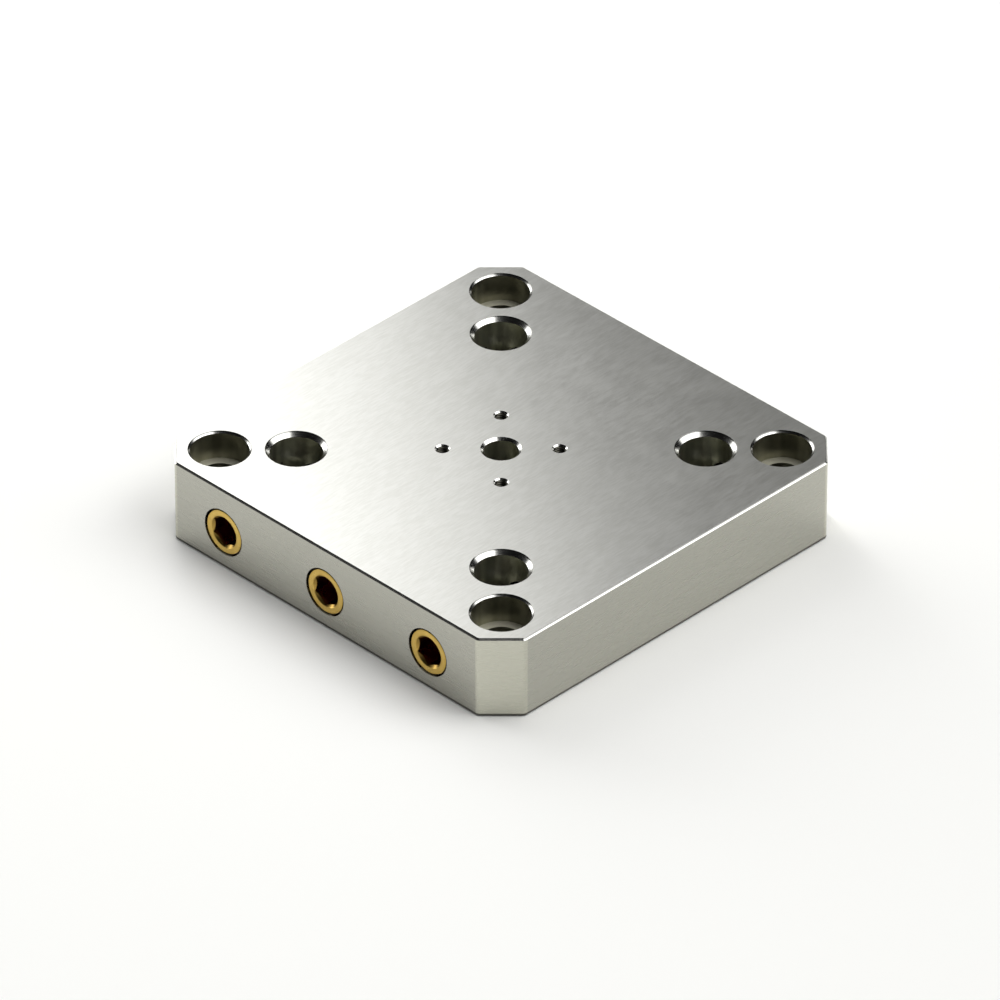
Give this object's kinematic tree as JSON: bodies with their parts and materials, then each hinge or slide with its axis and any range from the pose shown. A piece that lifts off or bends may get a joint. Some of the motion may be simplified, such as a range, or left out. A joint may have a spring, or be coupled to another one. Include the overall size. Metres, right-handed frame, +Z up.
{
  "type": "zero point clamping plate",
  "caption": "Square steel zero point clamping plate with cut corners, chamfered stud bores, counterbored mounting holes, and side spindles that slide keyhole lock rods under the studs.",
  "frame": {"origin": "middle of the underside, on the axis of the centre bore", "axes": "+Z up out of the pallet face, -Y out of the operating face with the spindle sockets, +X to the right seen from that face"},
  "size_m": [0.164, 0.164, 0.031],
  "materials": {
    "ground_steel": "fine ground, satin",
    "spindle_brass": "turned, satin",
    "hardened_steel": "hardened and ground",
    "pin_steel": "ground dowel pin",
    "black_oxide_steel": "black oxide",
    "seal_rubber": "moulded, matt"
  },
  "bodies": {
    "plate": {"clamping_plate": "ground_steel", "thrust_washer_left": "hardened_steel", "retaining_pin_left_a": "pin_steel", "retaining_pin_left_b": "pin_steel", "guide_screw_left": "black_oxide_steel", "thrust_washer_centre": "hardened_steel", "retaining_pin_centre_a": "pin_steel", "retaining_pin_centre_b": "pin_steel", "guide_screw_centre": "black_oxide_steel", "thrust_washer_right": "hardened_steel", "retaining_pin_right_a": "pin_steel", "retaining_pin_right_b": "pin_steel", "guide_screw_right": "black_oxide_steel"},
    "left_spindle": {"spindle_left": "spindle_brass", "spindle_seal_left": "seal_rubber"},
    "left_rod": {"lock_rod_left": "hardened_steel"},
    "centre_spindle": {"spindle_centre": "spindle_brass", "spindle_seal_centre": "seal_rubber"},
    "centre_rod": {"lock_rod_centre": "hardened_steel"},
    "right_spindle": {"spindle_right": "spindle_brass", "spindle_seal_right": "seal_rubber"},
    "right_rod": {"lock_rod_right": "hardened_steel"}
  },
  "joints": [
    {"name": "left_spindle_turn", "type": "hinge", "parent": "plate", "child": "left_spindle", "pos_m": [-0.048, -0.082, 0.014], "axis": [0, 1, 0], "range_deg": [0, 1440]},
    {"name": "centre_spindle_turn", "type": "hinge", "parent": "plate", "child": "centre_spindle", "pos_m": [0, -0.082, 0.014], "axis": [0, 1, 0], "range_deg": [0, 1440]},
    {"name": "right_spindle_turn", "type": "hinge", "parent": "plate", "child": "right_spindle", "pos_m": [0.048, -0.082, 0.014], "axis": [0, 1, 0], "range_deg": [0, 1440]},
    {"name": "left_rod_slide", "type": "slide", "parent": "plate", "child": "left_rod", "axis": [0, -1, 0], "range_m": [0, 0.006]},
    {"name": "centre_rod_slide", "type": "slide", "parent": "plate", "child": "centre_rod", "axis": [0, -1, 0], "range_m": [0, 0.006]},
    {"name": "right_rod_slide", "type": "slide", "parent": "plate", "child": "right_rod", "axis": [0, -1, 0], "range_m": [0, 0.006]}
  ],
  "couplings": [
    {"joint": "left_spindle_turn", "follows": "left_rod_slide", "rad_per_m": 4188.8},
    {"joint": "centre_spindle_turn", "follows": "centre_rod_slide", "rad_per_m": 4188.8},
    {"joint": "right_spindle_turn", "follows": "right_rod_slide", "rad_per_m": 4188.8}
  ]
}
